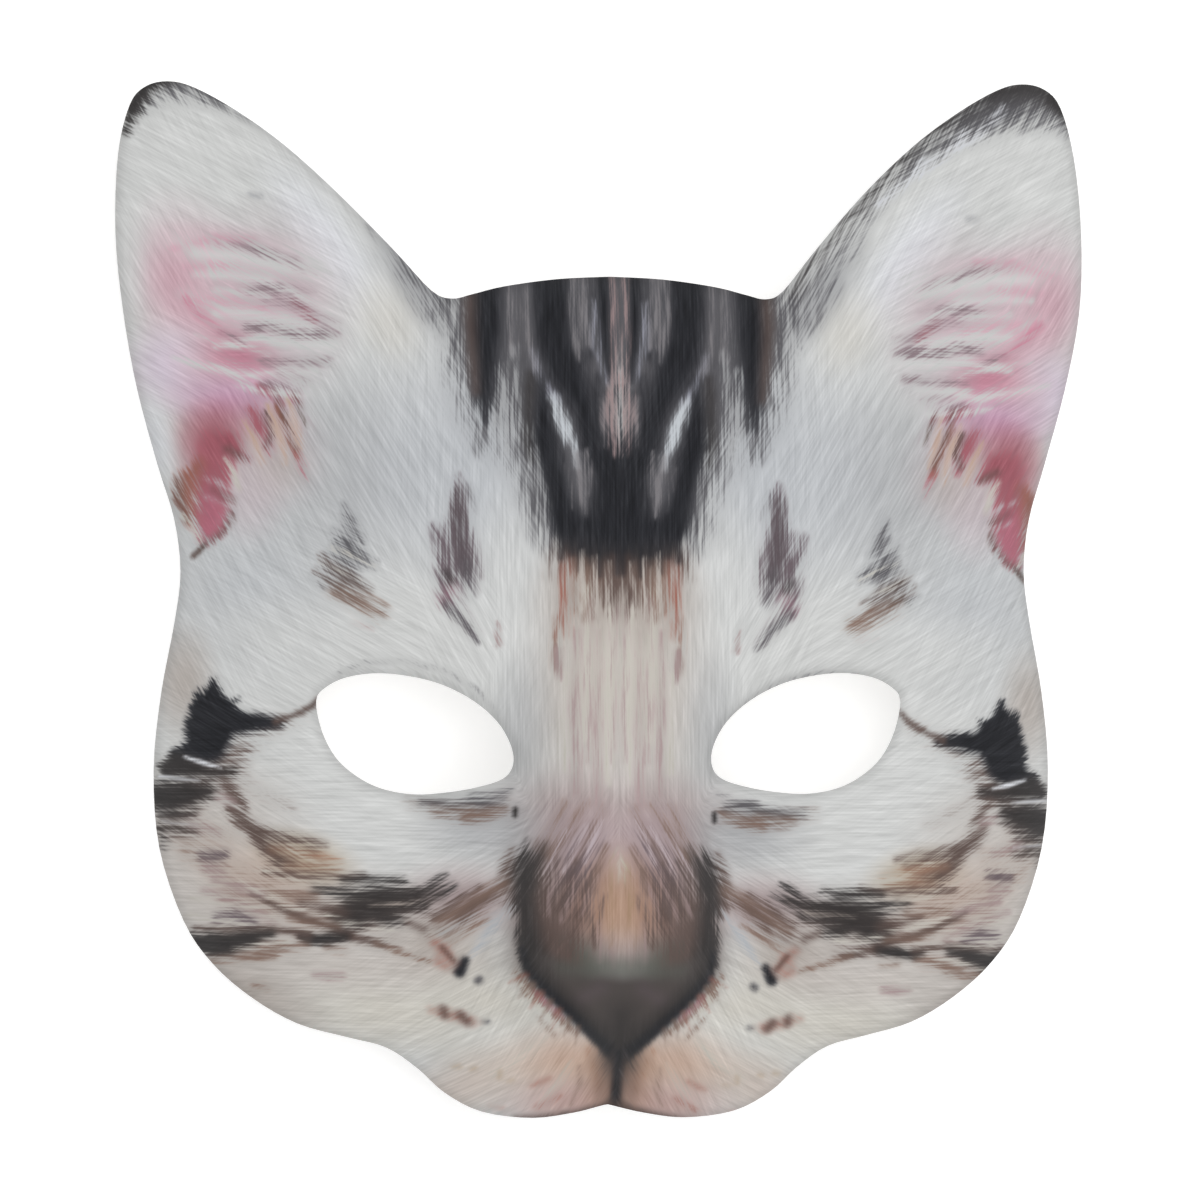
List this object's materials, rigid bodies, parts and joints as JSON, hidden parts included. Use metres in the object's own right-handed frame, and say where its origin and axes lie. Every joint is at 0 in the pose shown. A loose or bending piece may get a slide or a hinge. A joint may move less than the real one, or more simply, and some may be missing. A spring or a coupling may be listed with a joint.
{
  "type": "cat half mask",
  "caption": "Half-face carnival mask of moulded foam with a printed tabby-kitten cloth face, pointed ears, almond eye holes, a raised nose and a lobed muzzle",
  "frame": {"origin": "on the surface that the rim rests on, under the middle of the mask's outline", "axes": "+X to the right of the face as it is looked at, +Y towards the ears, +Z out of the face; the mask lies face up"},
  "size_m": [0.1852, 0.1974, 0.0519],
  "materials": {
    "printed_cloth": "matt short-pile cloth with a printed tabby kitten face",
    "eva_foam": "matt white closed-cell EVA foam"
  },
  "bodies": {
    "root": {"printed_cover": "printed_cloth", "foam_shell": "eva_foam"}
  },
  "joints": []
}
